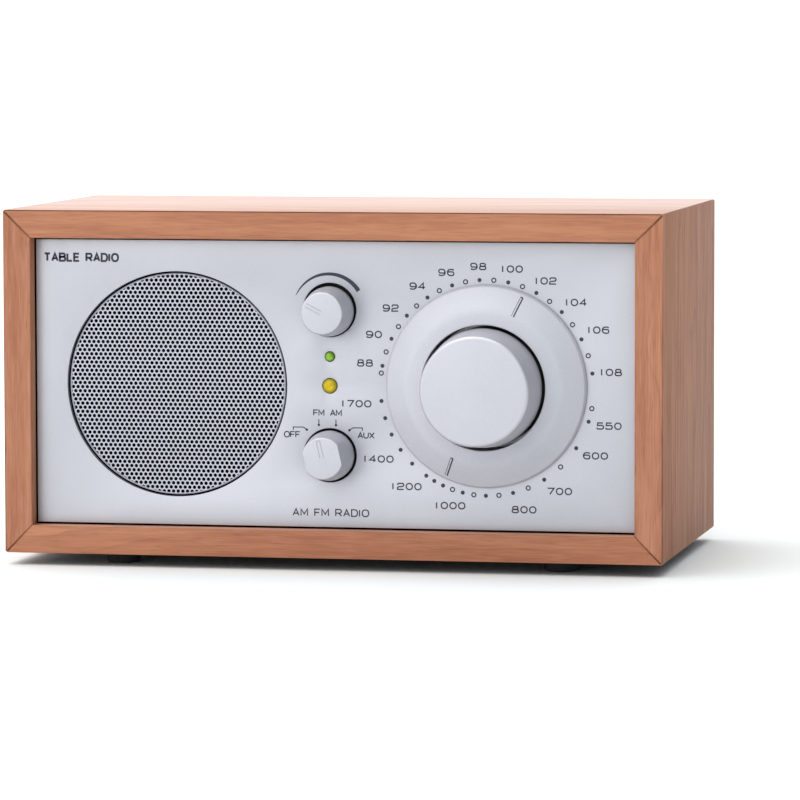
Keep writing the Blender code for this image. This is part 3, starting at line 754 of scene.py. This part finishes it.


def make_panel():
    grille = middle("speaker_grille")
    lamps = [(middle(node), radius_of(node) + 0.15) for node in LAMPS]
    sheet = [(low + PANEL_MARGIN, high - PANEL_MARGIN) for low, high in PANEL_EDGES]

    def loops(shrink):
        x, z = ((pair[0] + shrink, pair[1] - shrink) for pair in sheet)
        holes = [
            circle(GRILLE_HOLE + shrink, (grille.x, grille.z), ROUND),
            circle(DIAL_HOLE + shrink, TUNING, ROUND),
            circle(CONTROL_HOLE + shrink, (VOLUME[0], VOLUME[1] + VOLUME_SAG)),
            circle(CONTROL_HOLE + shrink, SELECTOR),
        ]
        return [rectangle(x, z), *holes, *(circle(r + shrink, (at.x, at.z), 32) for at, r in lamps)]

    panel = stacked(loops, rounded_edge(0, PANEL_HIGH.y - PANEL, 0.18))
    piece("front_panel", panel, "silver", replaced=["face_panel"], place=(0, PANEL, 0))

    # The black cloth round the panel is painted shade: it darkens the gap between panel and wood.
    def seal_loops(shrink):
        inner, outer = PANEL_MARGIN - 0.05, -0.25
        return [rectangle(*((low + by, high - by) for low, high in PANEL_EDGES)) for by in (outer, inner)]

    shade_seal = stacked(seal_loops, [(0.4, 0), (2, 0)])
    piece("panel_shade_seal", shade_seal, "fabric", "black_cloth", place=(0, PANEL, 0))


def print_on_panel(name, bm):
    piece(name, printed(bm), "silver", "ink", place=(0, PANEL, 0))


def fm_angle(megahertz):
    """Where a frequency sits on the FM scale, in degrees clockwise from the top."""
    u = (megahertz - 98) / 10
    return -3.75 + 76.3 * u + 5.1 * u**2 + 3.9 * u**3


def am_angle(kilohertz):
    v = math.log(kilohertz / 1000)
    return 193.0 + 118.2 * v - 7.3 * v**2 + 58.0 * v**3


def on_dial(radius, degrees):
    a = math.radians(degrees)
    return Vector((TUNING[0] + radius * math.sin(a), TUNING[1] - SCALE_SAG + radius * math.cos(a)))


def make_scale():
    """FM over the top and AM under: a dot or a ring for each step, and figures round the outside."""
    marks = bmesh.new()
    for megahertz in (87.5, *range(88, 109)):
        scale_mark(marks, fm_angle(megahertz), filled=megahertz % 2 == 0)
    hollow = (530, 650, 750, 850, 950, 1050)
    for kilohertz in (530, 550, *range(600, 1200, 50), *range(1200, 1800, 100)):
        scale_mark(marks, am_angle(kilohertz), filled=kilohertz not in hollow)
    print_on_panel("scale_marks", marks)

    figures = bmesh.new()
    labels = [(str(mhz), fm_angle(mhz)) for mhz in range(88, 110, 2)]
    labels += [(str(khz), am_angle(khz)) for khz in (550, 600, 700, 800, 1000, 1200, 1400, 1700)]
    for text, degrees in labels:
        across, up = math.sin(math.radians(degrees)), math.cos(math.radians(degrees))
        shift = across if up > 0 else max(-1.0, min(1.0, 2.9 * across))
        at = on_dial(LABEL_RADIUS, degrees) + Vector((shift * HALF_WIDTHS[len(text)], up * 1.15))
        at += Vector(NUDGES.get(text, (0, 0)))
        letters(figures, text, at.x, at.y, FIGURE, STROKE, stretch=1.03, gap=0.415)
    print_on_panel("scale_figures", figures)


def scale_mark(bm, degrees, filled):
    at = on_dial(SCALE_RADIUS, degrees)
    if filled:
        disc(bm, 0.66, at)
    else:
        ribbon(bm, circle(0.65, at, 24), 0.4, True)


def make_labels():
    """The volume wedge, the selector's positions with their pointers, and a caption."""
    bm = bmesh.new()
    start, end, outer = -68, 57, 11.9
    thinnest, thickest = 0.1, 1.4
    steps = 40
    band = []
    for step in range(steps + 1):
        share = step / steps
        a = math.radians(start + (end - start) * share)
        inner = outer - thinnest - (thickest - thinnest) * share**0.6
        across, up = VOLUME[0], VOLUME[1] + VOLUME_SAG
        band.append([
            bm.verts.new(((across + r * math.sin(a)) * MM, 0, (up + r * math.cos(a)) * MM))
            for r in (outer, inner)
        ])
    for first, second in zip(band, band[1:]):
        bm.faces.new((first[0], first[1], second[1], second[0]))

    x, z = SELECTOR
    names = (("FM", -3.6, 13.5), ("AM", 1.95, 13.5), ("OFF", -12.3, 6.5), ("AUX", 11.7, 6.5))
    for text, across, up in names:
        letters(bm, text, x + across, z + up, 1.72, 0.37, stretch=0.86)
    for across in (-3.6, 1.95):
        pointer_to(bm, 0.3, [(x + across, z + 11.4), (x + across, z + 9.6)])
    for side, foot, bend, tip in ((-1, 11.9, 8.6, 7.5), (1, 10.5, 7.4, 6.3)):
        hook = [(side * foot, 7.95), (side * foot, 8.85), (side * bend, 8.85, 0.8), (side * tip, 8.05)]
        pointer_to(bm, 0.32, [Vector((x, z)) + at for at in filleted(hook, False)])
    print_on_panel("control_labels", bm)

    caption = bmesh.new()
    letters(caption, "AM FM RADIO", -0.7, 18.2, 2.1, 0.4, stretch=0.9, gap=0.36)
    letters(caption, "TABLE RADIO", -82.0, 98.7, 2.3, 0.68, stretch=0.78, gap=0.4)
    print_on_panel("caption_label", caption)


def pointer_to(bm, width, points):
    """A line that ends in a dot."""
    ribbon(bm, [Vector(at) for at in points], width)
    disc(bm, 0.4, points[-1])


# ---------------- loudspeaker grille


GRILLE_PITCH = 1.527
GRILLE_BORE = 0.60  # radius of one hole
GRILLE_LIP = 0.5  # width of the plain rolled edge
GRILLE_SLIT = 0.25  # extra room round that edge
GRILLE_SHEET = 0.2


def perforated(radius):
    """A flat disc of staggered round holes in bare millimetres, cut off cleanly at its edge."""
    row = GRILLE_PITCH * math.sqrt(3) / 2
    cell = [Vector((at.y, at.x)) for at in circle(GRILLE_PITCH / math.sqrt(3), steps=6)]
    hole = [Vector((at.y, at.x)) for at in circle(GRILLE_BORE, steps=12)]
    whole, crossing = bmesh.new(), bmesh.new()
    reach = int(radius / row) + 2
    for j in range(-reach, reach + 1):
        for i in range(-reach, reach + 1):
            at = Vector(((i + 0.5 * (j % 2)) * GRILLE_PITCH, j * row))
            if at.length > radius + GRILLE_PITCH:
                continue
            bm = crossing if at.length > radius - GRILLE_PITCH else whole
            inner = [bm.verts.new((at.x + u.x, 0, at.y + u.y)) for u in hole]
            outer = [bm.verts.new((at.x + u.x, 0, at.y + u.y)) for u in cell]
            for k in range(6):
                rim = [inner[(2 * k + m) % 12] for m in (2, 1, 0)]
                bm.faces.new((outer[k], outer[(k + 1) % 6], *rim))
    for at in circle(radius, steps=ROUND):
        out = (at.x, 0, at.y)
        everything = [*crossing.verts, *crossing.edges, *crossing.faces]
        bmesh.ops.bisect_plane(crossing, geom=everything, plane_co=out, plane_no=out, clear_outer=True)
    bm = merged(whole, crossing)
    bmesh.ops.remove_doubles(bm, verts=bm.verts, dist=0.01)
    return bm


def make_grille():
    """Perforated sheet in a rolled edge, with black cloth behind it and a black ring round it as painted shade."""
    node = "speaker_grille"
    centre = middle(node)
    place = (centre.x, span(node)[0].y, centre.z)
    radius = radius_of(node) - GRILLE_SLIT
    inside = radius - GRILLE_LIP
    bm = perforated(inside + 0.1)
    bmesh.ops.recalc_face_normals(bm, faces=bm.faces)
    copied = bmesh.ops.extrude_face_region(bm, geom=bm.faces[:])["geom"]
    back = [item for item in copied if isinstance(item, bmesh.types.BMVert)]
    bmesh.ops.translate(bm, verts=back, vec=(0, GRILLE_SHEET, 0))
    bmesh.ops.scale(bm, verts=bm.verts, vec=(MM, MM, MM))
    roll = [(inside, -0.03), (inside + 0.15, -0.03), (radius, 0.3, 0.4), (radius, 0.9), (inside, 0.9)]
    grille = merged(bm, turned(filleted(roll)))
    piece("perforated_grille", grille, "grille", replaced=[node], place=place, sharp=35)
    # A black ring in the gap round the grille: painted shade.
    shade_seat = ring(inside - 0.5, GRILLE_HOLE - 0.05, 1.1, 8)
    piece("grille_shade_seat", shade_seat, "grille", "black_cloth", place=place)
    # Black cloth behind the holes: painted shade inside the cabinet.
    piece("black_shade_cloth", ring(0, radius - 1.2, 2.6, 3.0), "fabric", "black_cloth", place=place)


# ---------------- dial and knobs


DIAL_EDGE = (32.1, -0.8)  # (radius, depth) where the dial's cone starts
DIAL_SHOULDER = (31.6, -2.1)
DIAL_CREST = (24.6, -6.3)
DIAL_BORE = (19.8, -6.8)


def radial_mark(degrees, lines, depth_at):
    """Fine lines of painted shade on a turned face: each is its width and its corners as (across, radius).

    The mark stands at degrees clockwise from the top, and depth_at gives the face's depth at a radius.
    """
    bm = bmesh.new()
    for width, corners in lines:
        ribbon(bm, [Vector(at) for at in corners], width)
    printed(bm, 0.08)
    for vert in bm.verts:
        vert.co.y += depth_at(math.hypot(vert.co.x, vert.co.z) / MM) * MM
    return moved(bm, turn=Matrix.Rotation(math.radians(degrees), 3, "Y"))


def evenly(start, end, across, steps=12):
    return [(across, start + (end - start) * k / steps) for k in range(steps + 1)]


def make_dial():
    """The ring round the tuning knob: a cone up to a soft crest, with painted shade lines for an engraved mark for
    each band.
    """
    bore, hub, back = DIAL_BORE[0], DIAL_HOLE - 0.4, 6.5
    face = [(*DIAL_EDGE, 0.3), (*DIAL_SHOULDER, 0.9), (*DIAL_CREST, 7), (*DIAL_BORE, 0.35)]
    profile = filleted([(DIAL_EDGE[0], -0.25), *face, (bore, back), (hub, back), (hub, -0.25)], steps=8)
    place = (TUNING[0], PANEL, TUNING[1])
    piece("tuning_dial", turned(profile, 192), "silver", "dial_silver", body="dial",
          replaced=["dial_ring"], place=place)

    def depth_at(radius):
        for outer, inner in zip(profile, profile[1:]):
            if inner.x <= radius <= outer.x and inner.y < -0.5:
                return outer.y + (inner.y - outer.y) * (outer.x - radius) / max(outer.x - inner.x, 1e-6)
        return DIAL_BORE[1]

    for name, degrees in (("mark_fm", 22.6), ("mark_am", 204.0)):
        side = 1 if degrees < 180 else -1
        start, end = 24.4, 30.7
        hook = (start, end)[side > 0]
        # Painted shade of an engraved groove: a thick line for its shaded wall, a hook for its end, a thin line
        # for its other edge.
        lines = [
            (0.42, evenly(start, end, 0.34 * side)),
            (0.36, [(0.34 * side, hook), (-0.42 * side, hook)]),
            (0.15, evenly(start, end, -0.42 * side)),
        ]
        piece(name, radial_mark(degrees, lines, depth_at), "silver", "ink", body="dial", place=place)


KNOB_BORE = 3.2
KNOB_TAPER_END = -2.6  # a small knob is straight from this depth on


def pointer(degrees, proud, closed):
    """Two fine parallel lines of painted shade that stand for a groove on a small knob's face, from near its
    middle outwards.
    """
    start, end, half = 0.3, 5.7, 0.58
    lines = [(0.24, evenly(start, end, side * half, 4)) for side in (-1, 1)]
    if closed:
        lines.append((0.24, [(-half, end), (half, end)]))
    return radial_mark(degrees, lines, lambda radius: -proud)


SMALL_BASE, SMALL_FACE = 7.9, 6.65  # radii of a small knob
SELECTOR_FLAT = 5.75  # distance of its finger flats from the axis, at the face
SELECTOR_TURN = -13
SMALL_LIP = -0.15  # the small knobs are black from this depth on, as painted shade inside their holes


def small_knob(proud):
    base = [(SMALL_BASE, KNOB_TAPER_END), (SMALL_BASE, SMALL_LIP), (KNOB_BORE, SMALL_LIP)]
    corners = [(0, -proud), (SMALL_FACE, -proud, 0.5), *base, (KNOB_BORE, 4 - proud), (0, 4 - proud)]
    return turned(filleted(corners, False, 6))


def knob_foot(name, body, at, hole_sag):
    """The black part of a small knob inside its hole, and the hole's black lining: both painted shade."""
    foot = ring(KNOB_BORE, SMALL_BASE, SMALL_LIP, 1.1)
    piece(f"{name}_foot", foot, "black_plastic", "black_cloth", body, place=(at[0], PANEL, at[1]))
    shade_lining = ring(CONTROL_HOLE - 0.18, CONTROL_HOLE - 0.02, 0.2, 2)
    place = (at[0], PANEL, at[1] + hole_sag)
    piece(f"{name}_lining", shade_lining, "black_plastic", "black_cloth", place=place)


def finger_flat(side, proud):
    """The wedge cut from one side of the selector knob, from its face out to its base."""
    slope = (SMALL_BASE - SELECTOR_FLAT) / proud
    far, reach = 14, 12  # beyond the knob's radius and past its ends
    shape = [(SELECTOR_FLAT - slope, -proud - 1), (far, -proud - 1), (far, 0), (SMALL_BASE, 0)]
    shape = [Vector((side * x, y)) for x, y in shape]
    wedge = stacked(lambda shrink: [shape], [(0, -reach), (0, reach)])
    bmesh.ops.transform(wedge, matrix=Matrix(((1, 0, 0), (0, 0, 1), (0, -1, 0))), verts=wedge.verts)
    return wedge


def make_knobs():
    proud = PANEL - span("tuning_knob")[0].y
    place = (TUNING[0], PANEL, TUNING[1])
    lip = DIAL_BORE[1] + 0.3
    wall, face, bore = 18.8, 17.3, KNOB_BORE
    back = 4 - proud
    corners = [(0, -proud), (face, -proud, 1.1), (wall, lip), (bore, lip), (bore, back), (0, back)]
    knob = turned(filleted(corners, False, 6), 192)
    piece("big_knob", knob, "silver", "knob_silver", "tuning_knob", ["tuning_knob"], place)
    # A black collar below the dial's lip: painted shade in the gap round the knob.
    piece("big_knob_shade_collar", ring(bore, wall, lip, 5.4), "black_plastic", body="tuning_knob", place=place)

    place = (VOLUME[0], PANEL, VOLUME[1])
    proud = PANEL - span("volume_knob")[0].y
    piece("round_knob", small_knob(proud), "silver", "knob_silver", "volume", ["volume_knob"], place)
    knob_foot("round_knob", "volume", VOLUME, VOLUME_SAG)
    piece("volume_pointer", pointer(-63, proud, closed=False), "silver", "shade", "volume", place=place)

    place = (SELECTOR[0], PANEL, SELECTOR[1])
    proud = PANEL - span("selector_knob")[0].y
    knob = carved(small_knob(proud), finger_flat(-1, proud), finger_flat(1, proud))
    moved(knob, turn=Matrix.Rotation(math.radians(SELECTOR_TURN), 3, "Y"))
    piece("band_knob", knob, "silver", "knob_silver", "selector", ["selector_knob"], place)
    knob_foot("band_knob", "selector", SELECTOR, 0)
    mark = pointer(SELECTOR_TURN, proud, closed=True)
    piece("band_pointer", mark, "silver", "shade", "selector", place=place)


def make_lamps():
    """Domed lenses just proud of the panel."""
    for node, name in LAMPS.items():
        radius = radius_of(node)
        crest = span(node)[0].y - PANEL
        angles = (0, 0.3, 0.6, 0.9, 1.2, math.pi / 2)
        dome = [(radius * math.sin(a), crest + LENS_RISE * (1 - math.cos(a))) for a in angles]
        lens = turned([*dome, (radius, 6), (0, 6)], SMALL_ROUND)
        centre = middle(node)
        piece(name, lens, node, replaced=[node], place=(centre.x, PANEL, centre.z))


# ---------------- rear connections


def make_screws():
    """Pan heads with a cross recess, and their shanks."""
    head = [(0, 2.0), (2.0, 2.0, 1.2), (3.1, 0.9, 0.5), (3.1, 0)]
    profile = filleted([*head, (1.4, 0), (1.4, -9), (0, -10.5)], False)
    for number in range(1, 5):
        node = f"rear_screw_{number}"
        arms = []
        for degrees in (0, 90):
            turn = Matrix.Rotation(math.radians(degrees + 20 * number), 3, "Y")
            arms.append(moved(block((-1.7, 1.7), (0.9, 3), (-0.35, 0.35), 0.1), turn=turn))
        screw = carved(turned(profile, 48), *arms)
        piece(f"pan_screw_{number}", screw, "steel", replaced=[node], place=on_rear(node))


def make_inlet():
    """A two-pin mains inlet: a rounded flange, a figure-of-eight well, and two pins standing in it."""
    node = "mains_inlet"
    flange = rounded((-13, 13), (-8, 8), 1.6)
    body = stacked(lambda shrink: [inset(flange, shrink)], rounded_edge(-10.5, 0.8, 0.4))
    pin_x, well = 4.3, 4.6
    wells = [moved(ring(0, well, -8, 3, 48), x) for x in (-pin_x, pin_x)]
    body = carved(body, *wells, block((-pin_x, pin_x), (-8, 3), (-2.6, 2.6), 0.2))
    x, y, z = on_rear(node)
    piece("inlet_body", body, "black_plastic", replaced=[node], place=(x, y, z))
    pin = filleted([(0, -1.5), (1.2, -1.5, 0.8), (1.2, -8.4), (0, -8.4)], False)
    for number, side in enumerate((-1, 1), 1):
        place = (x + side * pin_x, y, z)
        piece(f"inlet_pin_{number}", turned(pin, 32), "steel", "nickel", place=place)


def make_sockets():
    """Two 3.5 mm jacks with nickel nuts, and a threaded aerial socket."""
    jack = 1.75  # radius of a jack's bore
    nut = filleted([(jack, 0.9), (2.3, 1.6), (4.9, 1.6, 0.35), (4.9, 0.02), (jack, 0.02)])
    back = [(jack, -9.4), (0, -9.4), (0, -13.9), (4, -13.9)]
    shell = [(jack, 0.9), *back, (4, -0.1), (2.2, -0.1), (2.2, 0.9)]
    for node in ("aux_socket", "headphone_socket"):
        place = on_rear(node)
        piece(f"{node}_nut", turned(nut), "steel", "nickel", replaced=[node], place=place)
        piece(f"{node}_shell", turned(shell, SMALL_ROUND), "black_plastic", place=place)

    node = "aerial_socket"
    threads = []
    for number in range(7):
        at = 5.4 - number * 0.5
        threads += [(4.4, at), (4.4, at - 0.12), (4.12, at - 0.25), (4.4, at - 0.42)]
    nut = [(4.4, 1.8), (6.2, 1.8), (6.2, 0.02), (5, 0.02)]
    barrel = turned([(3.4, 5.6), (4.2, 5.6), *threads, *nut, (5, -10), (3.4, -10)])
    piece("aerial_barrel", barrel, "brass", "nickel", replaced=[node], place=on_rear(node))
    core = filleted([(0.5, -4), (0.5, 5.0), (0.9, 5.3), (3.35, 5.3, 0.2), (3.35, -9.5), (0.5, -9.5)])
    piece("aerial_insulator", turned(core, SMALL_ROUND), "white_plastic", place=on_rear(node))


def make_slider():
    """The slide switch's ridged button."""
    low, high = span("aerial_slider")
    button = block((low.x, high.x), (low.y, high.y), (low.z, high.z), 0.25)
    pitch, half, depth = 1.1, 0.2, 0.35
    middles = [low.x + pitch + pitch * number for number in range(3)]
    y, z = (high.y - depth, high.y + 1), (low.z - 1, high.z + 1)
    button = carved(button, *(block((x - half, x + half), y, z, 0.05) for x in middles))
    piece("slider_button", button, "white_plastic", body="aerial_slider", replaced=["aerial_slider"])


def make_rear_labels():
    """White names under the connections, and a silver plate with ratings. All are read from behind."""
    names = bmesh.new()
    for node, text, rise in (
        ("aux_socket", "AUX IN", -9),
        ("headphone_socket", "PHONES", -9),
        ("aerial_socket", "AERIAL", -10.5),
        ("mains_inlet", "MAINS", 11.5),
        ("aerial_switch", "INT EXT", -7.5),
    ):
        centre = middle(node)
        letters(names, text, -centre.x, centre.z + rise, 2.0, 0.34, stretch=0.85, gap=0.34)
    about = Matrix.Rotation(math.pi, 3, "Z")
    piece("rear_names", moved(printed(names), turn=about), "black_panel", "white_ink", place=(0, REAR, 0))

    x, z = -8, 76
    outer = rounded((-19, 19), (-10, 10), 1.2)
    plate = stacked(lambda shrink: [inset(outer, shrink)], [(0, 0.02), (0, 0.25), (0.12, 0.3)])
    piece("rating_plate", plate, "aluminium", place=(x, REAR, z))
    ratings = bmesh.new()
    for row, text in enumerate(("TABLE RADIO", "AM 520 1710", "FM 87 108", "AC 220 V")):
        letters(ratings, text, 0, 5.6 - 3.7 * row, 1.6, 0.28, stretch=0.9, gap=0.36)
    text = moved(printed(ratings), turn=about)
    piece("rating_text", text, "aluminium", "ink", place=(x, REAR + 0.3, z))


def soften_rear_panel():
    """The sheet's edges catch a little light."""
    change = frame["nodes"]["rear_panel"].modifiers.new("edges", "BEVEL")
    change.width = 0.25 * MM
    change.segments = 2
    change.limit_method = "ANGLE"


# ---------------- inside


def dress_inside():
    """CAD nodes whose own shape is right get the look of their slot."""
    slots = {entry["node"]: entry["material_slot"] for entry in frame["record"]["subparts"]}
    for name, node in frame["nodes"].items():
        node.data.materials.clear()
        node.data.materials.append(LOOKS[slots[name]])


# ---------------- stage

WALLS_LOW, WALLS_HIGH = 0.98, 1.11  # brightness of the studio's white walls, low down and higher up
CEILING = 2.6
LEFT_LAMP = 0.58
GLOW = 0.62  # behind the radio
RIGHT_SHARE = 0.24  # light left on the studio's open right side
RIGHT_TINT = (0.78, 1.0, 1.05)
FLOOR_SIZE = 15  # in metres


def make_stage():
    """A pale floor in a white studio that is dark on the right, and a broad lamp at the front left."""
    bm = bmesh.new()
    bmesh.ops.create_grid(bm, x_segments=1, y_segments=1, size=FLOOR_SIZE)
    ground = bare_object("floor", bm)
    ground.data.materials.append(floor_look())

    world = bpy.data.worlds.new("studio")
    bpy.context.scene.world = world
    world.use_nodes = True
    tree = world.node_tree
    direction = add(tree, "ShaderNodeTexCoord").outputs["Generated"]
    parts = add(tree, "ShaderNodeSeparateXYZ", {"Vector": direction}).outputs
    across, back, up = parts["X"], parts["Y"], parts["Z"]
    walls = remap(up, 0.15, 0.4, WALLS_LOW, WALLS_HIGH)
    walls = plus(walls, remap(up, 0.5, 0.8, 0, CEILING - WALLS_HIGH))
    walls = times(walls, remap(across, 0, 0.7, 1, RIGHT_SHARE))
    lamp = times(remap(across, -0.3, -0.7), remap(up, 0.15, 0.6, LEFT_LAMP, 0))
    glow = times(remap(back, 0.6, 0.9), remap(up, 0.12, 0.4, GLOW, 0))
    glow = times(glow, remap(across, 0, 0.35, 1, 0))
    walls = plus(walls, plus(lamp, glow))
    horizon = remap(up, 0.03, 0.05, 1.0, 0)
    colour = blend_colours(remap(across, 0, 0.7), (1.0, 1.0, 1.0), RIGHT_TINT)
    background = tree.nodes["Background"]
    tree.links.new(colour, background.inputs["Color"])
    tree.links.new(calculate("MAXIMUM", walls, horizon), background.inputs["Strength"])

    add_sun("key", (-0.30, -0.78, 0.48), 0.58, 60)
    bpy.context.scene.view_settings.view_transform = "Standard"


def add_sun(name, towards, strength, softness):
    """A soft sun: towards points from the radio to the light, softness is its angle in degrees."""
    data = bpy.data.lights.new(name, "SUN")
    data.energy = strength
    data.angle = math.radians(softness)
    lamp = bpy.data.objects.new(name, data)
    bpy.context.scene.collection.objects.link(lamp)
    lamp.rotation_euler = Vector(towards).to_track_quat("Z", "Y").to_euler()


CAMERA_AIM = (10.69, 10.4, 49.89)
CAMERA_DISTANCE = 1.6627  # in metres, from there
CAMERA_YAW, CAMERA_PITCH, CAMERA_ROLL = 11.416, 4.615, -0.117
LENS, SENSOR = 228.7, 36


def turn_about(axis, degrees):
    return Matrix.Rotation(math.radians(degrees), 4, axis)


def make_camera():
    """A long lens to the right of the front, a little above."""
    data = bpy.data.cameras.new("camera")
    data.sensor_width = SENSOR
    data.lens = LENS
    data.clip_end = 100
    camera = bpy.data.objects.new("camera", data)
    bpy.context.scene.collection.objects.link(camera)
    turn = turn_about("Z", CAMERA_YAW) @ turn_about("X", 90 - CAMERA_PITCH) @ turn_about("Z", CAMERA_ROLL)
    aim = Matrix.Translation(Vector(CAMERA_AIM) * MM)
    camera.matrix_world = aim @ turn @ Matrix.Translation((0, 0, CAMERA_DISTANCE))
    bpy.context.scene.camera = camera


STEPS = (
    make_camera, dress_inside, make_cabinet, make_feet, make_port, make_underside, make_panel, make_scale,
    make_labels, make_grille, make_dial, make_knobs, make_lamps, make_screws, make_inlet, make_sockets,
    make_slider, make_rear_labels, soften_rear_panel, make_stage,
)


for step in STEPS:
    step()
